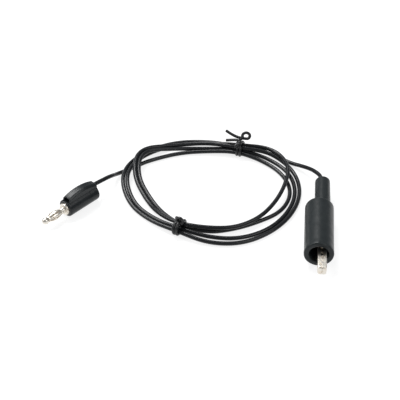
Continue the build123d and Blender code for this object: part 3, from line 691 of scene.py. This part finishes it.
def boot_rings():
    """Rings of the boot: front face, lip, tube, tail, cord hole, cavity and bore."""
    outer = [(0.0, 5.9), (0.0, 6.4)]
    outer += arc(0.75, BOOT_LIP - 0.75, 0.75, 180, 90, 6)
    outer += [(1.6, BOOT_LIP), (2.2, BOOT_LIP - 0.01), (2.7, BOOT_LIP - 0.04), (3.3, BOOT_LIP - 0.07)]
    outer += [(x, BOOT_RADIUS) for x in (4.2, 6, 9, 12, 15, 18, 21, 24, 27, 30, 32, 33.5, 34.4)]
    outer += arc(BOOT_LENGTH - 0.8, BOOT_RADIUS - 0.8, 0.8, 75, 0, 5)
    rings = [(x, radius, 0.0) for x, radius in outer]
    rings += [(BOOT_LENGTH + 0.02, 5.7, -0.4), (BOOT_LENGTH + 0.04, 4.9, -1.2)]
    for x, radius in arc(BOOT_LENGTH + 0.54, 4.53, 0.5, 250, 190, 4):
        rings.append((x, radius, TAIL_SHIFT))
    for x in (37, 39, 42, 45, 48, 51, 54, 55.4):
        rings.append((x, 4.03 - 0.15 * (x - BOOT_LENGTH) / 22, TAIL_SHIFT))
    for x, radius in arc(TAIL_END - 1.3, 2.58, 1.3, 85, 0, 8):
        rings.append((x, radius, TAIL_SHIFT))
    inner = [(TAIL_END, 1.7), (TAIL_END - 0.02, 1.32), (TAIL_END - 0.15, 1.18), (TAIL_END - 0.5, 1.15)]
    inner += [(52.0, 1.15), (51.5, 1.2), (51.4, 1.9), (34.0, 1.9), (33.5, 1.62), (28.4, 1.62)]
    rings += [(x, radius, TAIL_SHIFT) for x, radius in inner]
    rings += [(BORE_DEPTH, 2.4, -1.2), (BORE_DEPTH, 3.6, -0.5), (BORE_DEPTH, 4.4, 0.0)]
    bore = [(27.7, BOOT_BORE)] + [(x, BOOT_BORE) for x in (24, 20, 16, 12, 8, 5, 3, 1.6)]
    bore += [(x, r) for x, r in arc(0.8, BOOT_BORE + 0.8, 0.8, 270, 190, 5)]
    rings += [(x, radius, 0.0) for x, radius in bore]
    return rings


def boot_skin(point, angle, shift):
    """A soft moulding: a little out of round, wavy, with two flash lines and a nick in the lip."""
    axis = Vector((0, shift, 0))
    spoke = Vector((0, point.y, point.z)) - axis
    reach = spoke.length
    if reach < 2.6 or (point.x < BORE_DEPTH + 1 and reach < BOOT_BORE + 0.3):
        return point
    sway = noise.noise(Vector((point.x * 0.10, math.cos(angle) * 1.3, math.sin(angle) * 1.3 + SKIN_SEED)))
    flash = max(0.0, 1.0 - abs(math.sin(angle)) * 26) * 0.05
    swell = 0.09 * sway + flash
    top = math.degrees(angle) - 90
    if point.x < 1.0 and abs(top - 4) < 6:
        swell -= 0.16 * math.cos(math.radians((top - 4) * 15))
    out = axis + spoke.normalized() * (reach + swell)
    return Vector((point.x, out.y, out.z))


# ---------------------------------------------------------------- properties
class LeadSizes(bpy.types.PropertyGroup):
    cord_diameter: bpy.props.FloatProperty(
        name="Cord diameter", description="Outside of the cord's jacket", default=2.2 * MM, unit="LENGTH"
    )
    tie_diameter: bpy.props.FloatProperty(
        name="Tie wire diameter",
        description="Outside of the tie's insulation",
        default=1.6 * MM,
        unit="LENGTH",
    )
    mould_voxel: bpy.props.FloatProperty(
        name="Mould detail",
        description="Smallest edge kept on the plug's body",
        default=0.13 * MM,
        unit="LENGTH",
    )
    camera_distance: bpy.props.FloatProperty(
        name="Camera distance",
        description="From the camera to the coil's floor",
        default=0.592,
        unit="LENGTH",
    )
    camera_height: bpy.props.FloatProperty(
        name="Camera elevation",
        description="Angle above the floor",
        default=math.radians(39.7),
        subtype="ANGLE",
    )
    lens: bpy.props.FloatProperty(name="Lens", description="Focal length", default=102.06, unit="CAMERA")


class LeadColours(bpy.types.PropertyGroup):
    jacket: bpy.props.FloatVectorProperty(
        name="Cord", description="Cord jacket", default=(0.008, 0.009, 0.0105), subtype="COLOR"
    )
    tie: bpy.props.FloatVectorProperty(
        name="Ties", description="Tie insulation", default=(0.009, 0.0095, 0.0105), subtype="COLOR"
    )
    body: bpy.props.FloatVectorProperty(
        name="Plug body", description="Moulded plug body", default=(0.013, 0.0155, 0.017), subtype="COLOR"
    )
    boot: bpy.props.FloatVectorProperty(
        name="Boot", description="Clip boot", default=(0.013, 0.0165, 0.0175), subtype="COLOR"
    )
    nickel: bpy.props.FloatVectorProperty(
        name="Nickel", description="Plated metal", default=(0.76, 0.72, 0.65), subtype="COLOR"
    )
    tarnish: bpy.props.FloatVectorProperty(
        name="Tarnish", description="Stains on the plating", default=(0.44, 0.34, 0.23), subtype="COLOR"
    )
    floor: bpy.props.FloatVectorProperty(
        name="Floor", description="Studio floor", default=(0.3, 0.3, 0.3), subtype="COLOR"
    )


# ---------------------------------------------------------------- operators
CAMERA_TARGET = (0.0059, 0.02765, 0.0)
COPPER_NODES = (
    "plug_conductor",
    "clip_conductor",
    "resistor_front_lead",
    "resistor_rear_lead",
    "splice_ferrule",
)
SKY_COLOUR = (0.93, 0.96, 1.0)
SKY_STRENGTH = 0.3


class LeadOperator:
    bl_options = {"REGISTER", "UNDO"}

    def execute(self, context):
        self.build(context.scene.lead_sizes, context.scene.lead_colours)
        return {"FINISHED"}


class LEAD_OT_stage(LeadOperator, bpy.types.Operator):
    """Set the camera, a pale floor and soft studio light"""

    bl_idname = "lead.stage"
    bl_label = "Stage"

    def build(self, sizes, colours):
        target = Vector(CAMERA_TARGET)
        self.add_camera(sizes, target)
        self.add_floor(colours, CAD_BOX[0].z)
        self.add_light("key", (-0.25, 0.55, 0.85), target, 0.55, 8.0)
        self.add_light("fill", (0.65, -0.35, 0.75), target, 0.8, 3.5)
        self.add_light("side", (-0.8, 0.15, 0.6), target, 0.5, 3.0)
        world = bpy.data.worlds.new("studio")
        world.use_nodes = True
        world.node_tree.nodes["Background"].inputs["Color"].default_value = (*SKY_COLOUR, 1.0)
        world.node_tree.nodes["Background"].inputs["Strength"].default_value = SKY_STRENGTH
        bpy.context.scene.world = world
        bpy.context.scene.view_settings.view_transform = "Standard"

    def add_camera(self, sizes, target):
        camera = bpy.data.cameras.new("camera")
        camera.lens = sizes.lens
        camera.sensor_width = 36.0
        camera.clip_start = 0.01
        camera.clip_end = 20.0
        seat = bpy.data.objects.new("camera", camera)
        bpy.context.scene.collection.objects.link(seat)
        rise = sizes.camera_height
        back = Vector((0, -math.cos(rise), math.sin(rise)))
        seat.location = target + back * sizes.camera_distance
        seat.rotation_euler = (-back).to_track_quat("-Z", "Y").to_euler()
        bpy.context.scene.camera = seat

    def add_floor(self, colours, height):
        bm = bmesh.new()
        bmesh.ops.create_grid(bm, x_segments=8, y_segments=8, size=3.0)
        mesh = bpy.data.meshes.new("floor")
        bm.to_mesh(mesh)
        bm.free()
        floor = bpy.data.objects.new("floor", mesh)
        floor.location.z = height
        bpy.context.scene.collection.objects.link(floor)
        paint = Paint("floor")
        cloud = paint.grain(0.4, 2.0)
        tone = paint.mix(cloud, shade(colours.floor, 0.985), shade(colours.floor, 1.0))
        paint.set(IOR=1.2, Emission_Color=(1.0, 1.0, 1.0), Emission_Strength=0.8)
        mesh.materials.append(paint.feed_surface(tone, 0.9, paint.bump(cloud, 0.01 * MM)))

    def add_light(self, name, where, target, size, power):
        light = bpy.data.lights.new(name, "AREA")
        light.shape = "RECTANGLE"
        light.size = size
        light.size_y = size * 0.6
        light.energy = power
        seat = bpy.data.objects.new(name, light)
        seat.location = Vector(where)
        seat.rotation_euler = (target - seat.location).to_track_quat("-Z", "Y").to_euler()
        bpy.context.scene.collection.objects.link(seat)


class LEAD_OT_cord(LeadOperator, bpy.types.Operator):
    """Lay the cord from the plug through its coil to the clip"""

    bl_idname = "lead.cord"
    bl_label = "Cord"

    def build(self, sizes, colours):
        curve = wire_curve("cord", cord_route(), sizes.cord_diameter, sides=6, rows=12)
        material = cord_jacket(colours.jacket)
        nodes = ("cord_to_plug", "cord_coil", "cord_to_clip")
        add_piece("cord", curve, material, "lead", *nodes, slot="cord_jacket")


class LEAD_OT_ties(LeadOperator, bpy.types.Operator):
    bl_idname = "lead.ties"
    bl_label = "Ties"

    def build(self, sizes, colours):
        material = tie_vinyl(colours.tie)
        for name, points, place in (
            ("upper_tie_wire", upper_tie_points(), tie_frame(UPPER_TIE_ANGLE, UPPER_TIE_REACH)),
            ("lower_tie_wire", lower_tie_points(), tie_frame(LOWER_TIE_ANGLE, LOWER_TIE_REACH)),
        ):
            route = [place @ (Vector(p) * MM) for p in points]
            curve = wire_curve(name, route, sizes.tie_diameter)
            node = name.replace("_wire", "")
            add_piece(name, curve, material, "lead", node, slot="tie_vinyl")


class LEAD_OT_plug_body(LeadOperator, bpy.types.Operator):
    """Mould the plug's body with rounded edges"""

    bl_idname = "lead.plug_body"
    bl_label = "Plug Body"

    def build(self, sizes, colours):
        mesh = softened("plug_body", sizes.mould_voxel, 5)
        material = moulded_plastic("plug_plastic", colours.body, 0.2, 0.18 * MM, 0.6)
        add_piece("plug_moulding", mesh, material, "lead", "plug_body", slot="plug_plastic")


class LEAD_OT_plug_metal(LeadOperator, bpy.types.Operator):
    """Finish the turned core, and make the lantern spring and the ball tip"""

    bl_idname = "lead.plug_metal"
    bl_label = "Plug Metal"

    def build(self, sizes, colours):
        core = turned_metal("plug_metal", colours.nickel, colours.tarnish, PLUG_AXIS, 0.22 * MM)
        paint_node("plug_core", core)
        bright = shade(colours.nickel, 1.08)
        leaf = turned_metal("spring_metal", bright, colours.tarnish, PLUG_AXIS, 0.5 * MM)
        add_piece("lantern", lantern_mesh(), leaf, "lantern_spring", "lantern_spring", slot="spring_metal")
        add_piece("ball_tip", tip_mesh(), core, "lead", "pin_tip", slot="plug_metal")
        steel = turned_metal("screw_steel", (0.56, 0.55, 0.53), (0.34, 0.30, 0.26), PLUG_AXIS, 0.35 * MM)
        paint_node("clamp_screw", steel)


class LEAD_OT_clip_boot(LeadOperator, bpy.types.Operator):
    """Dip the clip's soft boot with its lip and tail"""

    bl_idname = "lead.clip_boot"
    bl_label = "Clip Boot"

    def build(self, sizes, colours):
        mesh = rings_mesh("boot", boot_rings(), CLIP, 128, boot_skin)
        add_piece("boot", mesh, boot_vinyl(colours.boot), "lead", "clip_boot", slot="boot_vinyl")


class LEAD_OT_jaws(LeadOperator, bpy.types.Operator):
    """Finish the jaws, their rivet and their spring"""

    bl_idname = "lead.jaws"
    bl_label = "Jaws"

    def build(self, sizes, colours):
        sheet = pressed_metal(shade(colours.nickel, 0.95), colours.tarnish)
        paint_node("fixed_jaw", sheet)
        paint_node("moving_jaw", sheet)
        paint_node("pivot_rivet", inner_finish("rivet_brass", (0.62, 0.45, 0.2), 1.0, 0.3))
        paint_node("jaw_spring", inner_finish("spring_wire", (0.5, 0.5, 0.5), 1.0, 0.28))


class LEAD_OT_inner_pieces(LeadOperator, bpy.types.Operator):
    """Finish the conductors, resistor, ferrule and sleeve inside the lead"""

    bl_idname = "lead.inner_pieces"
    bl_label = "Inner Pieces"

    def build(self, sizes, colours):
        copper = inner_finish("conductor", (0.72, 0.42, 0.27), 1.0, 0.3)
        for node in COPPER_NODES:
            paint_node(node, copper)
        paint_node("resistor_body", inner_finish("resistor_coat", (0.62, 0.5, 0.34), 0.0, 0.35))
        paint_node("shrink_sleeve", inner_finish("sleeve", (0.03, 0.03, 0.032), 0.0, 0.5))


def paint_node(node, material):
    """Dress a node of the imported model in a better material."""
    for place in frame["nodes"][node].material_slots:
        place.material = material


class LEAD_PT_panel(bpy.types.Panel):
    """Lists the lead's pieces, sizes and colours"""

    bl_label = "Grounding Lead"
    bl_space_type = "VIEW_3D"
    bl_region_type = "UI"
    bl_category = "Lead"

    def draw(self, context):
        for kind in OPERATORS:
            self.layout.operator(kind.bl_idname)
        for group in (context.scene.lead_sizes, context.scene.lead_colours):
            for name in group.__annotations__:
                self.layout.prop(group, name)


OPERATORS = (
    LEAD_OT_stage,
    LEAD_OT_cord,
    LEAD_OT_ties,
    LEAD_OT_plug_body,
    LEAD_OT_plug_metal,
    LEAD_OT_clip_boot,
    LEAD_OT_jaws,
    LEAD_OT_inner_pieces,
)
CLASSES = (LeadSizes, LeadColours, *OPERATORS, LEAD_PT_panel)


def register():
    for kind in CLASSES:
        bpy.utils.register_class(kind)
    bpy.types.Scene.lead_sizes = bpy.props.PointerProperty(type=LeadSizes)
    bpy.types.Scene.lead_colours = bpy.props.PointerProperty(type=LeadColours)


def unregister():
    del bpy.types.Scene.lead_colours
    del bpy.types.Scene.lead_sizes
    for kind in reversed(CLASSES):
        bpy.utils.unregister_class(kind)


def main():
    register()
    for kind in OPERATORS:
        group, name = kind.bl_idname.split(".")
        getattr(getattr(bpy.ops, group), name)()


if __name__ == "__main__":
    main()
